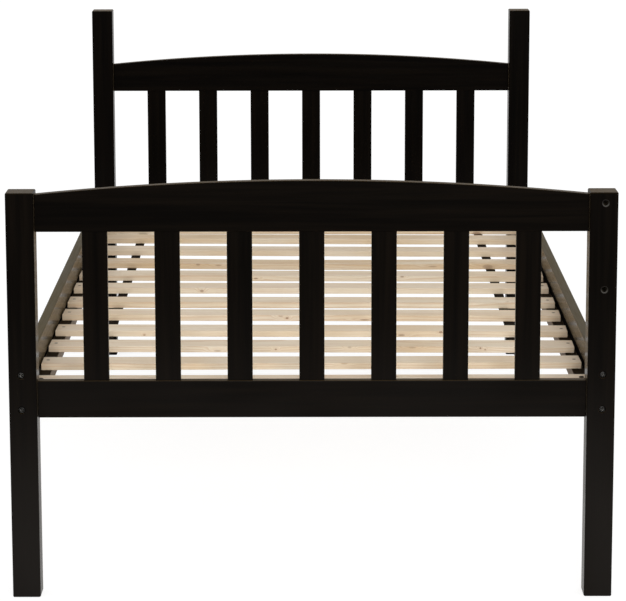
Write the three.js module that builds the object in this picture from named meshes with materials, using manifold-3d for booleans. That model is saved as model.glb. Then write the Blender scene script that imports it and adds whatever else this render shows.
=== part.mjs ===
// Single bed, the lower half of a bunk bed: dark stained wood frame with slatted head and foot boards,
// two side rails, and a deck of loose pine slats on ledgers. Millimetres, +Z up, +Y towards the head,
// +X to the right seen from the foot end. The origin is on the floor, at the middle of the bed.
import * as THREE from "three";
import { mergeVertices } from "three/addons/utils/BufferGeometryUtils.js";
import Module from "manifold-3d";

const wasm = await Module();
wasm.setup();

// Overall sizes
const BED_WIDTH = 1060; // over the posts
const BED_LENGTH = 2000; // over the posts
const FOOT_POST_HEIGHT = 725;
const HEAD_POST_HEIGHT = 852;
const POST_SIDE = 49; // the posts are square
const POST_EASE = 2.5; // rounding of the posts' long edges
const FIT = 0.3; // gap between two pieces that touch
const RAIL_UNDERSIDE = 324; // of the side rails and of the bottom rails

// Rails of the head and foot boards
const END_RAIL_THICK = 18;
const END_RAIL_INSET = 12; // from the posts' outer face
const BOTTOM_RAIL_HEIGHT = 66;
const TOP_RAIL_END_HEIGHT = 65.5; // at the posts
const TOP_RAIL_BELOW_POST = 4.5; // from the foot posts' tops to the rail's ends
const TOP_RAIL_RISE = 24; // of the arch over the ends
const ARCH_STEPS = 36;
const BOARD_EASE = 1.5; // rounding of the edges of all the rails
const TENON_LENGTH = 15; // into the posts
const TENON_THICK = 10;
const TENON_SHOULDER = 10; // left above and below a tenon

// Uprights between the two rails of a board
const UPRIGHT_COUNT = 7;
const UPRIGHT_WIDTH = 44;
const UPRIGHT_THICK = 12;
const UPRIGHT_SEAT = 10; // how far it stands in each rail
const UPRIGHT_EASE = 1;

// Side rails, with a ledger inside each
const SIDE_RAIL_THICK = 18;
const SIDE_RAIL_INSET = 13; // from the posts' outer face
const SIDE_RAIL_HEIGHT = 89;
const LEDGER_WIDTH = 22.5;
const LEDGER_HEIGHT = 25;
const LEDGER_ABOVE_UNDERSIDE = 9.7; // from the side rail's underside to the ledger's
const LEDGER_SETBACK = 45; // from the ends of the side rail

// Deck slats
const SLAT_WIDTH = 58;
const SLAT_THICK = 12;
const SLAT_END_GAP = 4; // between a slat and a side rail, on average
const SLAT_SHIFT = -0.8; // the slats lie a little to the left
const SLAT_EASE = 1.2;
const FIRST_SLAT = 110.5; // middle of the first slat, from the posts' foot face
const LAST_SLAT = 191.5; // middle of the last slat, from the posts' head face
// The slats are laid by hand. For each one from the foot end: how far its middle lies towards the head
// from its even place, how far its right end does from its left end, and, for a warped one, how far its
// middle hangs below its ends.
const SLAT_LAY = [
  { offset: 1.3, skew: 2 },
  { offset: 9.9, skew: 6 },
  { offset: 9.7, skew: -14 },
  { offset: 5.5, skew: -18 },
  { offset: 11.3, skew: -19 },
  { offset: -4.1, skew: -15 },
  { offset: 2.5, skew: -12 },
  { offset: -4.9, skew: -23 },
  { offset: -4.4, skew: -24, sag: 2.6 },
  { offset: 2.7, skew: -30 },
  { offset: 12, skew: -26 },
  { offset: -1.5, skew: -16 },
  { offset: -4, skew: -6 },
];
const SAG_STEPS = 18; // straight stretches along a hanging slat

// Webbing straps under the slats, which keep them apart
const STRAP_WIDTH = 20;
const STRAP_THICK = 1.5;
const STRAP_OVERHANG = 4; // past the first and the last slat
const LEFT_STRAP_FROM_RAIL = 106; // from the side rail's inner face to the middle of the strap
const RIGHT_STRAP_FROM_RAIL = 109;

// Bolts through the posts into barrel nuts in the side rails
const BOLT_RADIUS = 3;
const BOLT_LENGTH = 85;
const BOLT_CLEARANCE = 0.5; // round the bolt's shaft
const BOLT_HEAD_RADIUS = 6;
const BOLT_HEAD_HEIGHT = 3;
const BOLT_HEAD_CROWN = 0.8; // how much lower the head is at its rim
const HEX_KEY_SIZE = 4; // across the flats of the socket
const HEX_KEY_DEPTH = 2;
const BOLT_HEAD_CLEARANCE = 0.8; // round the bolt's head
const BOLT_HEAD_SUNK = 0.5; // below the post's face
const BOLT_ABOVE_UNDERSIDE = 16.5; // lower bolt, from the side rail's underside
const BOLT_BELOW_TOP = 10.5; // upper bolt, from the side rail's top
const NUT_RADIUS = 5;
const NUT_LENGTH = 14;
const NUT_FROM_POST = 30;
const ROUND_SIDES = 20;

// Two open holes in the right foot post, where a guard rail or a ladder is fixed
const UPPER_FIXING_BELOW_TOP = 19; // from the post's top to the middle of the hole
const LOWER_FIXING_BELOW_TOP = 171.5;
const FIXING_HOLE_RADIUS = 4;
const COUNTERSINK_RADIUS = 6;
const COUNTERSINK_DEPTH = 2;

const CUT_OVERRUN = 2; // how far a cutter stands out of what it cuts
const END_EASE_SHARE = 0.6; // easing of a piece's ends, as a share of its long edges' rounding

// Worked out from the sizes above
const postX = BED_WIDTH / 2 - POST_SIDE / 2;
const postY = BED_LENGTH / 2 - POST_SIDE / 2;
const endRailY = BED_LENGTH / 2 - END_RAIL_INSET - END_RAIL_THICK / 2;
const endRailLength = BED_WIDTH - 2 * POST_SIDE - 2 * FIT;
const sideRailX = BED_WIDTH / 2 - SIDE_RAIL_INSET - SIDE_RAIL_THICK / 2;
const sideRailInnerX = sideRailX - SIDE_RAIL_THICK / 2;
const sideRailLength = BED_LENGTH - 2 * POST_SIDE - 2 * FIT;
const boltHeights = [
  RAIL_UNDERSIDE + BOLT_ABOVE_UNDERSIDE,
  RAIL_UNDERSIDE + SIDE_RAIL_HEIGHT - BOLT_BELOW_TOP,
];
const ledgerTop = RAIL_UNDERSIDE + LEDGER_ABOVE_UNDERSIDE + LEDGER_HEIGHT;
const slatBottom = ledgerTop + FIT;
const slatLength = 2 * (sideRailInnerX - SLAT_END_GAP);
const bottomRailTop = RAIL_UNDERSIDE + BOTTOM_RAIL_HEIGHT;
const topRailUnderside = FOOT_POST_HEIGHT - TOP_RAIL_BELOW_POST - TOP_RAIL_END_HEIGHT;
const boltHoleRadius = BOLT_RADIUS + BOLT_CLEARANCE;
const counterboreRadius = BOLT_HEAD_RADIUS + BOLT_HEAD_CLEARANCE;
const counterboreDepth = BOLT_HEAD_SUNK + BOLT_HEAD_HEIGHT + FIT;
const boltSeatY = BED_LENGTH / 2 - BOLT_HEAD_SUNK - BOLT_HEAD_HEIGHT;
const nutY = BED_LENGTH / 2 - POST_SIDE - NUT_FROM_POST;
const fixingHeights = [UPPER_FIXING_BELOW_TOP, LOWER_FIXING_BELOW_TOP].map(
  (below) => FOOT_POST_HEIGHT - below,
);

const stain = { color: 0x1c1714, roughness: 0.45, metalness: 0 };
const pine = { color: 0xd9bd94, roughness: 0.7, metalness: 0 };
const steel = { color: 0x2b2a29, roughness: 0.35, metalness: 0.9 };
const webbing = { color: 0x1b1a19, roughness: 0.9, metalness: 0 };

const bed = new THREE.Group();
bed.name = "bed";

// A closed geometry as a solid that can be cut and joined
function solidOf(geometry) {
  const bare = geometry.clone();
  bare.deleteAttribute("normal");
  bare.deleteAttribute("uv");
  const merged = mergeVertices(bare, 1e-4);
  return new wasm.Manifold(
    new wasm.Mesh({
      numProp: 3,
      vertProperties: new Float32Array(merged.attributes.position.array),
      triVerts: new Uint32Array(merged.index.array),
    }),
  );
}

function geometryOf(solid) {
  const { vertProperties, triVerts } = solid.getMesh();
  const indexed = new THREE.BufferGeometry();
  indexed.setAttribute("position", new THREE.BufferAttribute(vertProperties, 3));
  indexed.setIndex(new THREE.BufferAttribute(triVerts, 1));
  const flat = indexed.toNonIndexed();
  flat.computeVertexNormals();
  return flat;
}

// The blank with every cutter taken away
function cut(blank, cutters) {
  let solid = solidOf(blank);
  for (const cutter of cutters) solid = solid.subtract(solidOf(cutter));
  return geometryOf(solid);
}

function join(pieces) {
  let solid = solidOf(pieces[0]);
  for (const piece of pieces.slice(1)) solid = solid.add(solidOf(piece));
  return geometryOf(solid);
}

function block(sizeX, sizeY, sizeZ, x, y, z) {
  return new THREE.BoxGeometry(sizeX, sizeY, sizeZ).translate(x, y, z);
}

// A round rod along Y, from fromY to toY
function rodAlongY(radius, fromY, toY, x, z) {
  const length = Math.abs(toY - fromY);
  const rod = new THREE.CylinderGeometry(radius, radius, length, ROUND_SIDES);
  return rod.translate(0, (fromY + toY) / 2, 0).translate(x, 0, z);
}

function rodAlongX(radius, length, x, y, z) {
  const rod = new THREE.CylinderGeometry(radius, radius, length, ROUND_SIDES);
  return rod.rotateZ(Math.PI / 2).translate(x, y, z);
}

// A rectangle about the origin with rounded corners
function roundedRectangle(width, height, radius) {
  const x = width / 2;
  const y = height / 2;
  const shape = new THREE.Shape();
  shape.moveTo(x - radius, -y);
  shape.absarc(x - radius, -y + radius, radius, -Math.PI / 2, 0, false);
  shape.absarc(x - radius, y - radius, radius, 0, Math.PI / 2, false);
  shape.absarc(-x + radius, y - radius, radius, Math.PI / 2, Math.PI, false);
  shape.absarc(-x + radius, -y + radius, radius, Math.PI, Math.PI * 1.5, false);
  return shape;
}

// An outline pushed along Z from 0 to length, with both ends eased
function easedExtrusion(shape, length, edgeRounding, steps = 1) {
  const ease = edgeRounding * END_EASE_SHARE;
  return new THREE.ExtrudeGeometry(shape, {
    depth: length - 2 * ease,
    steps,
    bevelEnabled: true,
    bevelThickness: ease,
    bevelSize: ease,
    bevelOffset: -ease,
    bevelSegments: 1,
    curveSegments: 2,
  }).translate(0, 0, ease);
}

// A straight board along X, centred on the origin, with eased edges
function boardAlongX(length, depth, height, ease, steps = 1) {
  const outline = roundedRectangle(depth, height, ease);
  const board = easedExtrusion(outline, length, ease, steps);
  return board.translate(0, 0, -length / 2).rotateX(Math.PI / 2).rotateZ(Math.PI / 2);
}

function boardAlongY(length, width, height, ease) {
  return boardAlongX(length, width, height, ease).rotateZ(Math.PI / 2);
}

function add(name, geometry, finish, x = 0, y = 0, z = 0, turn = 0) {
  const mesh = new THREE.Mesh(geometry, new THREE.MeshStandardMaterial(finish));
  mesh.name = name;
  mesh.position.set(x, y, z);
  mesh.rotation.z = turn;
  bed.add(mesh);
}

const ENDS = [
  { name: "foot", sign: -1, postHeight: FOOT_POST_HEIGHT },
  { name: "head", sign: 1, postHeight: HEAD_POST_HEIGHT },
];
const SIDES = [
  { name: "left", sign: -1 },
  { name: "right", sign: 1 },
];

// Posts, each about its own middle line and standing on the floor
function post(end, side) {
  const outline = roundedRectangle(POST_SIDE, POST_SIDE, POST_EASE);
  const blank = easedExtrusion(outline, end.postHeight, POST_EASE);
  const outerY = (end.sign * POST_SIDE) / 2;
  const boltX = side.sign * (sideRailX - postX);
  const railY = end.sign * (endRailY - postY);
  const cutters = [];

  // mortises for the tenons of the two rails
  const mortiseLength = TENON_LENGTH + 2 * FIT + CUT_OVERRUN;
  const mortiseX = -side.sign * (POST_SIDE / 2 + CUT_OVERRUN - mortiseLength / 2);
  for (const rail of [
    { underside: RAIL_UNDERSIDE, height: BOTTOM_RAIL_HEIGHT },
    { underside: topRailUnderside, height: TOP_RAIL_END_HEIGHT },
  ]) {
    const tenonHeight = rail.height - 2 * TENON_SHOULDER;
    cutters.push(
      block(
        mortiseLength,
        TENON_THICK + 2 * FIT,
        tenonHeight + 2 * FIT,
        mortiseX,
        railY,
        rail.underside + rail.height / 2,
      ),
    );
  }

  // bolt holes, each with a counterbore for the head
  const counterboreFloor = outerY - end.sign * counterboreDepth;
  const beyond = outerY + end.sign * CUT_OVERRUN;
  for (const height of boltHeights) {
    cutters.push(rodAlongY(boltHoleRadius, beyond, -beyond, boltX, height));
    cutters.push(rodAlongY(counterboreRadius, beyond, counterboreFloor, boltX, height));
  }

  if (end.name === "foot" && side.name === "right") {
    for (const height of fixingHeights) {
      cutters.push(rodAlongY(FIXING_HOLE_RADIUS, beyond, -beyond, boltX, height));
      cutters.push(countersink(boltX, outerY, height));
    }
  }
  return cut(blank, cutters);
}

// A cone that widens towards the foot face at y
function countersink(x, y, z) {
  const slope = (COUNTERSINK_RADIUS - FIXING_HOLE_RADIUS) / COUNTERSINK_DEPTH;
  const length = COUNTERSINK_DEPTH + CUT_OVERRUN;
  const wide = COUNTERSINK_RADIUS + slope * CUT_OVERRUN;
  const cone = new THREE.CylinderGeometry(FIXING_HOLE_RADIUS, wide, length, ROUND_SIDES);
  return cone.translate(x, y + COUNTERSINK_DEPTH - length / 2, z);
}

for (const end of ENDS) {
  for (const side of SIDES) {
    const name = `${end.name}_post_${side.name}`;
    add(name, post(end, side), stain, side.sign * postX, end.sign * postY);
  }
}

// Middles of the uprights along X: equal gaps between the uprights and the posts
const clearBetweenPosts = BED_WIDTH - 2 * POST_SIDE;
const uprightGap = (clearBetweenPosts - UPRIGHT_COUNT * UPRIGHT_WIDTH) / (UPRIGHT_COUNT + 1);
const uprightPlaces = Array.from(
  { length: UPRIGHT_COUNT },
  (_, i) => (i - (UPRIGHT_COUNT - 1) / 2) * (UPRIGHT_WIDTH + uprightGap),
);

// Mortises for the uprights in a rail's edge at height edgeZ; into is 1 where they go up, -1 down
function uprightMortises(edgeZ, into) {
  const depth = UPRIGHT_SEAT + FIT + CUT_OVERRUN;
  const z = edgeZ + into * (depth / 2 - CUT_OVERRUN);
  return uprightPlaces.map((x) =>
    block(UPRIGHT_WIDTH + 2 * FIT, UPRIGHT_THICK + 2 * FIT, depth, x, 0, z),
  );
}

// The two tenons of a rail whose ends are height tall, centred on height / 2
function tenons(height) {
  const bite = CUT_OVERRUN; // how far a tenon's block reaches into the rail to be joined to it
  const x = endRailLength / 2 + (TENON_LENGTH - bite) / 2;
  return SIDES.map((side) =>
    block(
      TENON_LENGTH + bite,
      TENON_THICK,
      height - 2 * TENON_SHOULDER,
      side.sign * x,
      0,
      height / 2,
    ),
  );
}

// Rails stand on z = 0 in their own frame
function bottomRail() {
  const board = boardAlongX(endRailLength, END_RAIL_THICK, BOTTOM_RAIL_HEIGHT, BOARD_EASE);
  const blank = join([board.translate(0, 0, BOTTOM_RAIL_HEIGHT / 2), ...tenons(BOTTOM_RAIL_HEIGHT)]);
  return cut(blank, uprightMortises(BOTTOM_RAIL_HEIGHT, -1));
}

// The top edge is one arc, TOP_RAIL_RISE higher in the middle than at the ends
function topRail() {
  const half = endRailLength / 2;
  const radius = (half * half + TOP_RAIL_RISE * TOP_RAIL_RISE) / (2 * TOP_RAIL_RISE);
  const sweep = Math.asin(half / radius);
  const centreZ = TOP_RAIL_END_HEIGHT + TOP_RAIL_RISE - radius;
  const outline = new THREE.Shape();
  outline.moveTo(-half, 0);
  outline.lineTo(half, 0);
  for (let step = 0; step <= ARCH_STEPS; step++) {
    const angle = sweep * (1 - (2 * step) / ARCH_STEPS);
    outline.lineTo(radius * Math.sin(angle), centreZ + radius * Math.cos(angle));
  }
  const board = easedExtrusion(outline, END_RAIL_THICK, BOARD_EASE);
  board.rotateX(Math.PI / 2).translate(0, END_RAIL_THICK / 2, 0);
  const blank = join([board, ...tenons(TOP_RAIL_END_HEIGHT)]);
  return cut(blank, uprightMortises(0, 1));
}

function upright() {
  const clear = topRailUnderside - bottomRailTop;
  const length = clear + 2 * UPRIGHT_SEAT;
  const outline = roundedRectangle(UPRIGHT_WIDTH, UPRIGHT_THICK, UPRIGHT_EASE);
  return easedExtrusion(outline, length, UPRIGHT_EASE);
}

for (const end of ENDS) {
  const y = end.sign * endRailY;
  add(`${end.name}board_bottom_rail`, bottomRail(), stain, 0, y, RAIL_UNDERSIDE);
  add(`${end.name}board_top_rail`, topRail(), stain, 0, y, topRailUnderside);
  uprightPlaces.forEach((x, i) => {
    const name = `${end.name}board_upright_${i + 1}`;
    add(name, upright(), stain, x, y, bottomRailTop - UPRIGHT_SEAT);
  });
}

// Side rails, about the middle of the board
function sideRail(side) {
  const blank = boardAlongY(sideRailLength, SIDE_RAIL_THICK, SIDE_RAIL_HEIGHT, BOARD_EASE);
  const middleZ = RAIL_UNDERSIDE + SIDE_RAIL_HEIGHT / 2;
  const nutHoleLength = SIDE_RAIL_THICK / 2 + NUT_LENGTH / 2 + FIT + CUT_OVERRUN;
  const nutHoleX = NUT_LENGTH / 2 + FIT - nutHoleLength / 2;
  const cutters = [];
  for (const end of ENDS) {
    for (const height of boltHeights) {
      const z = height - middleZ;
      const beyond = end.sign * (sideRailLength / 2 + CUT_OVERRUN);
      const deepest = end.sign * (boltSeatY - BOLT_LENGTH - CUT_OVERRUN);
      cutters.push(rodAlongY(boltHoleRadius, beyond, deepest, 0, z));
      cutters.push(
        rodAlongX(NUT_RADIUS + FIT, nutHoleLength, side.sign * nutHoleX, end.sign * nutY, z),
      );
    }
  }
  return cut(blank, cutters);
}

function ledger() {
  const length = sideRailLength - 2 * LEDGER_SETBACK;
  return boardAlongY(length, LEDGER_WIDTH, LEDGER_HEIGHT, BOARD_EASE);
}

for (const side of SIDES) {
  const railZ = RAIL_UNDERSIDE + SIDE_RAIL_HEIGHT / 2;
  const ledgerX = sideRailInnerX - FIT - LEDGER_WIDTH / 2;
  const ledgerZ = ledgerTop - LEDGER_HEIGHT / 2;
  add(`side_rail_${side.name}`, sideRail(side), stain, side.sign * sideRailX, 0, railZ);
  add(`ledger_${side.name}`, ledger(), stain, side.sign * ledgerX, 0, ledgerZ);
}

// Deck slats, each turned a little about its own middle
const slatSpan = BED_LENGTH - FIRST_SLAT - LAST_SLAT;
const slatPlaces = SLAT_LAY.map(({ offset, skew, sag = 0 }, i) => ({
  y: -BED_LENGTH / 2 + FIRST_SLAT + (i * slatSpan) / (SLAT_LAY.length - 1) + offset,
  turn: Math.asin(skew / slatLength),
  sag,
}));

// A warped slat is level from its ends to past the straps, and hangs in an arc between them
const strapFromRail = Math.max(LEFT_STRAP_FROM_RAIL, RIGHT_STRAP_FROM_RAIL);
const sagReach = sideRailInnerX - strapFromRail - STRAP_WIDTH / 2;

function hangingSlat(sag) {
  const board = boardAlongX(slatLength, SLAT_WIDTH, SLAT_THICK, SLAT_EASE, SAG_STEPS);
  const endRing = slatLength / 2 - SLAT_EASE * END_EASE_SHARE;
  const firstInnerRing = endRing * (1 - 2 / SAG_STEPS);
  const place = board.attributes.position;
  for (let i = 0; i < place.count; i += 1) {
    const share = place.getX(i) / firstInnerRing;
    if (Math.abs(share) > 1 + 1 / SAG_STEPS) continue;
    place.setX(i, share * sagReach);
    place.setZ(i, place.getZ(i) - sag * Math.max(0, 1 - share * share));
  }
  board.computeVertexNormals();
  return board;
}

slatPlaces.forEach(({ y, turn, sag }, i) => {
  const name = `deck_slat_${String(i + 1).padStart(2, "0")}`;
  const level = boardAlongX(slatLength, SLAT_WIDTH, SLAT_THICK, SLAT_EASE);
  const board = sag > 0 ? hangingSlat(sag) : level;
  add(name, board, pine, SLAT_SHIFT, y, slatBottom + SLAT_THICK / 2, turn);
});

// Straps run flat under the slats, from the first one to the last
function strap(x) {
  const edgeY = ({ y, turn }) => y + (x - SLAT_SHIFT) * Math.tan(turn);
  const reach = SLAT_WIDTH / 2 + STRAP_OVERHANG;
  const from = edgeY(slatPlaces[0]) - reach;
  const to = edgeY(slatPlaces[slatPlaces.length - 1]) + reach;
  const z = slatBottom - FIT - STRAP_THICK / 2;
  return { band: block(STRAP_WIDTH, to - from, STRAP_THICK, 0, 0, 0), y: (from + to) / 2, z };
}

const leftStrapX = -(sideRailInnerX - LEFT_STRAP_FROM_RAIL);
const rightStrapX = sideRailInnerX - RIGHT_STRAP_FROM_RAIL;
for (const { name, x } of [
  { name: "slat_strap_left", x: leftStrapX },
  { name: "slat_strap_right", x: rightStrapX },
]) {
  const { band, y, z } = strap(x);
  add(name, band, webbing, x, y, z);
}

// A bolt along +Y, its head's seat at y = 0 and its tip at y = BOLT_LENGTH
function bolt() {
  const profile = [
    new THREE.Vector2(0, -BOLT_HEAD_HEIGHT),
    new THREE.Vector2(BOLT_HEAD_RADIUS - BOLT_HEAD_CROWN * 2, -BOLT_HEAD_HEIGHT),
    new THREE.Vector2(BOLT_HEAD_RADIUS, -BOLT_HEAD_HEIGHT + BOLT_HEAD_CROWN),
    new THREE.Vector2(BOLT_HEAD_RADIUS, 0),
    new THREE.Vector2(BOLT_RADIUS, 0),
    new THREE.Vector2(BOLT_RADIUS, BOLT_LENGTH - BOLT_HEAD_CROWN),
    new THREE.Vector2(BOLT_RADIUS - BOLT_HEAD_CROWN, BOLT_LENGTH),
    new THREE.Vector2(0, BOLT_LENGTH),
  ];
  const blank = new THREE.LatheGeometry(profile, ROUND_SIDES);
  const corner = HEX_KEY_SIZE / Math.sqrt(3);
  const length = HEX_KEY_DEPTH + CUT_OVERRUN;
  const socket = new THREE.CylinderGeometry(corner, corner, length, 6);
  socket.translate(0, -BOLT_HEAD_HEIGHT - CUT_OVERRUN + length / 2, 0);
  return cut(blank, [socket]);
}

// A barrel nut along X, with a hole for the bolt across its middle
function barrelNut() {
  const hole = rodAlongY(BOLT_RADIUS + FIT, -2 * NUT_RADIUS, 2 * NUT_RADIUS, 0, 0);
  return cut(rodAlongX(NUT_RADIUS, NUT_LENGTH, 0, 0, 0), [hole]);
}

for (const end of ENDS) {
  const turn = end.sign > 0 ? Math.PI : 0;
  for (const side of SIDES) {
    const x = side.sign * sideRailX;
    boltHeights.forEach((height, i) => {
      const place = `${end.name}_${side.name}_${i ? "upper" : "lower"}`;
      add(`bolt_${place}`, bolt(), steel, x, end.sign * boltSeatY, height, turn);
      add(`barrel_nut_${place}`, barrelNut(), steel, x, end.sign * nutY, height);
    });
  }
}

export default bed;
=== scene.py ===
import math
from collections import namedtuple

import bmesh
import bpy
from mathutils import Matrix, Vector


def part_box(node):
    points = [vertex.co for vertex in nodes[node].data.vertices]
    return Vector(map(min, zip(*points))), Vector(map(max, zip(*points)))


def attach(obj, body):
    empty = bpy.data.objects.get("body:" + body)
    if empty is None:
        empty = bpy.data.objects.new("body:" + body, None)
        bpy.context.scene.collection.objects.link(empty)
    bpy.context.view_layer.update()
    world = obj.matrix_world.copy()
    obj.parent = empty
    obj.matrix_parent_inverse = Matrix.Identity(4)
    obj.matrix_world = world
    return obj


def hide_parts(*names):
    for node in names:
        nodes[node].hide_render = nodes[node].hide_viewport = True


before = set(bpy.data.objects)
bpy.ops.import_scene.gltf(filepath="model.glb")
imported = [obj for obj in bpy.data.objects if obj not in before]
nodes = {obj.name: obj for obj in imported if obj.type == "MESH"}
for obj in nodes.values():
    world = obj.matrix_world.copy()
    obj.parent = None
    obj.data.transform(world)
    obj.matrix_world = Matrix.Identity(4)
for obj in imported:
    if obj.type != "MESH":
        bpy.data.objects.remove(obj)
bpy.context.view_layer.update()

scene = bpy.context.scene

# Camera, solved for the photograph's 626 x 601 frame
PHOTO_WIDTH = 626
PHOTO_HEIGHT = 601
FOCAL_PX = 2732.46
PRINCIPAL_X = 313.0
PRINCIPAL_Y = 233.72
PITCH_DOWN = 0.1772
YAW = 0.0011
ROLL = -0.00137
CAMERA_PLACE = Vector((-0.00296, -5.65221, 1.48662))
SENSOR_MM = 36.0
CLIP_NEAR = 0.1
CLIP_FAR = 100.0


def make_camera():
    forward = Vector((
        math.sin(YAW) * math.cos(PITCH_DOWN),
        math.cos(YAW) * math.cos(PITCH_DOWN),
        -math.sin(PITCH_DOWN),
    ))
    right = Vector((math.cos(YAW), -math.sin(YAW), 0.0))
    up = right.cross(forward)
    rolled_right = right * math.cos(ROLL) + up * math.sin(ROLL)
    rolled_up = -right * math.sin(ROLL) + up * math.cos(ROLL)
    data = bpy.data.cameras.new("camera")
    data.sensor_fit = "HORIZONTAL"
    data.sensor_width = SENSOR_MM
    data.lens = FOCAL_PX / PHOTO_WIDTH * SENSOR_MM
    data.shift_x = (PHOTO_WIDTH / 2 - PRINCIPAL_X) / PHOTO_WIDTH
    data.shift_y = (PRINCIPAL_Y - PHOTO_HEIGHT / 2) / PHOTO_WIDTH
    data.clip_start = CLIP_NEAR
    data.clip_end = CLIP_FAR
    camera = bpy.data.objects.new("camera", data)
    turn = Matrix((rolled_right, rolled_up, -forward)).transposed().to_4x4()
    camera.matrix_world = Matrix.Translation(CAMERA_PLACE) @ turn
    scene.collection.objects.link(camera)
    scene.camera = camera


make_camera()

# A ramp is where it begins and ends, and then what it is there, if that isn't 0 and 1
NOISE_RANGE = (0.3, 0.7)  # most of a noise's values lie in this range
EDGE_SAMPLES = 4
EDGE_BEGINS = 0.98  # cosine of the turn at which a rounded edge begins to count
MIX_SHARE, MIX_FIRST, MIX_SECOND, MIX_RESULT = 0, 6, 7, 2  # a Mix node's sockets for colours


class Graph:
    """Short calls that build one node tree. A value is a number, a tuple or another node's output."""

    def __init__(self, tree):
        self.tree = tree

    def put(self, socket, value):
        if isinstance(value, bpy.types.NodeSocket):
            self.tree.links.new(value, socket)
        else:
            socket.default_value = value

    def node(self, kind, **settings):
        node = self.tree.nodes.new("ShaderNode" + kind)
        for name, value in settings.items():
            setattr(node, name, value)
        return node

    def math(self, operation, *values):
        node = self.node("Math", operation=operation)
        for socket, value in zip(node.inputs, values):
            self.put(socket, value)
        return node.outputs[0]

    def add(self, first, second):
        return self.math("ADD", first, second)

    def times(self, first, second):
        return self.math("MULTIPLY", first, second)

    def rest_of(self, share):
        return self.math("SUBTRACT", 1.0, share)

    def vector(self, operation, *values):
        node = self.node("VectorMath", operation=operation)
        for socket, value in zip(node.inputs, values):
            self.put(socket, value)
        return node.outputs["Value" if operation in ("DOT_PRODUCT", "LENGTH") else "Vector"]

    def combine(self, x, y, z):
        node = self.node("CombineXYZ")
        for socket, value in zip(node.inputs, (x, y, z)):
            self.put(socket, value)
        return node.outputs[0]

    def parts(self, vector):
        node = self.node("SeparateXYZ")
        self.put(node.inputs[0], vector)
        return tuple(node.outputs)

    def noise(self, place, detail=2.0, roughness=0.5, distortion=0.0):
        node = self.node("TexNoise")
        self.put(node.inputs["Vector"], place)
        node.inputs["Scale"].default_value = 1.0
        node.inputs["Detail"].default_value = detail
        node.inputs["Roughness"].default_value = roughness
        node.inputs["Distortion"].default_value = distortion
        return node.outputs["Fac"]

    def spread(self, value, low, high, to_low=0.0, to_high=1.0, smooth=True):
        """Low to high becomes to_low to to_high, and what lies outside stays at the ends"""
        node = self.node("MapRange", interpolation_type="SMOOTHSTEP" if smooth else "LINEAR")
        self.put(node.inputs["Value"], value)
        node.inputs["From Min"].default_value = low
        node.inputs["From Max"].default_value = high
        node.inputs["To Min"].default_value = to_low
        node.inputs["To Max"].default_value = to_high
        return node.outputs["Result"]

    def mix(self, share, first, second):
        """Two colours mixed by the second one's share"""
        node = self.node("Mix", data_type="RGBA")
        self.put(node.inputs[MIX_SHARE], share)
        for socket, colour in ((MIX_FIRST, first), (MIX_SECOND, second)):
            plain = not isinstance(colour, bpy.types.NodeSocket)
            self.put(node.inputs[socket], (*colour, 1) if plain else colour)
        return node.outputs[MIX_RESULT]

    def bump(self, height, strength, distance, normal=None):
        node = self.node("Bump")
        node.inputs["Strength"].default_value = strength
        node.inputs["Distance"].default_value = distance
        self.put(node.inputs["Height"], height)
        if normal is not None:
            self.put(node.inputs["Normal"], normal)
        return node.outputs[0]

    def place(self):
        return self.node("TexCoord").outputs["Object"]

    def facing(self):
        return self.node("NewGeometry").outputs["Normal"]

    def edges(self, radius, full):
        """The surface's direction with its edges rounded, and 1 along those edges, where the cosine of
        the turn is full or less"""
        rounded = self.node("Bevel", samples=EDGE_SAMPLES)
        rounded.inputs["Radius"].default_value = radius
        turned = self.vector("DOT_PRODUCT", rounded.outputs[0], self.facing())
        return rounded.outputs[0], self.spread(turned, full, EDGE_BEGINS, 1.0, 0.0)

    def seen_directly(self):
        """1 for what the camera sees by itself, in a reflection or through glass"""
        path = self.node("LightPath").outputs
        seen = self.math("MAXIMUM", path["Is Camera Ray"], path["Is Glossy Ray"])
        return self.math("MAXIMUM", seen, path["Is Transmission Ray"])


class Finish(Graph):
    """A new material with its main shader. A socket's name has _ for its spaces."""

    def __init__(self, name, **sockets):
        self.material = bpy.data.materials.new(name)
        self.material.use_nodes = True
        super().__init__(self.material.node_tree)
        self.shader = self.tree.nodes["Principled BSDF"]
        for socket, value in sockets.items():
            self.set(socket.replace("_", " "), value)

    def set(self, socket, value):
        self.put(self.shader.inputs[socket], value)


# Dark stained wood
STAIN_DEEP = (0.0016, 0.0012, 0.0009)
STAIN_BROWN = (0.0042, 0.0029, 0.0019)
STAIN_RUBBED = (0.030, 0.018, 0.010)
# painted light bounced up from the floor onto the lower legs
STAIN_PAINTED_BOUNCE = (0.0115, 0.0100, 0.0088)
# painted light: the lighter brown of tops, for the light and warm reflection they catch
STAIN_PAINTED_LIT_TOPS = (0.057, 0.037, 0.015)
# painted light: the side rails' tops are a lighter brown, for the light and warm reflection they catch
STAIN_RAIL_PAINTED_LIT_TOPS = (0.088, 0.065, 0.028)
# painted shade: the ledger's tops are much darker than other tops, as they lie in shade under the slats
STAIN_SHADED_LEDGER_TOPS = (0.007, 0.004, 0.0015)
# painted reflection: the warm brown of the rails' inner faces stands for their reflection of the pine slats
# and the white studio
STAIN_PAINTED_REFLECTION = (0.128, 0.092, 0.047)
# a lighter brown on the ledger's inner face
STAIN_LEDGER_INNER = (0.125, 0.090, 0.062)
# painted reflection: the pale lower rim of a countersink
STAIN_RIM_PAINTED_REFLECTION = (0.060, 0.056, 0.050)
SHEEN_TINT = (0.95, 0.70, 0.42, 1)
SHEEN_ROUGHNESS = 0.2
STAIN_SPECULAR = 0.01

# Noise cells per metre, across the grain and along it
STREAKS = (70.0, 2.2)
PORES = (620.0, 14.0)
CLOUDS = (6.0, 3.0)
PATCHES = (90.0, 25.0)
PIECE_SHIFT = 40.0  # each piece takes its grain from another place, up to this many metres away

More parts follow.
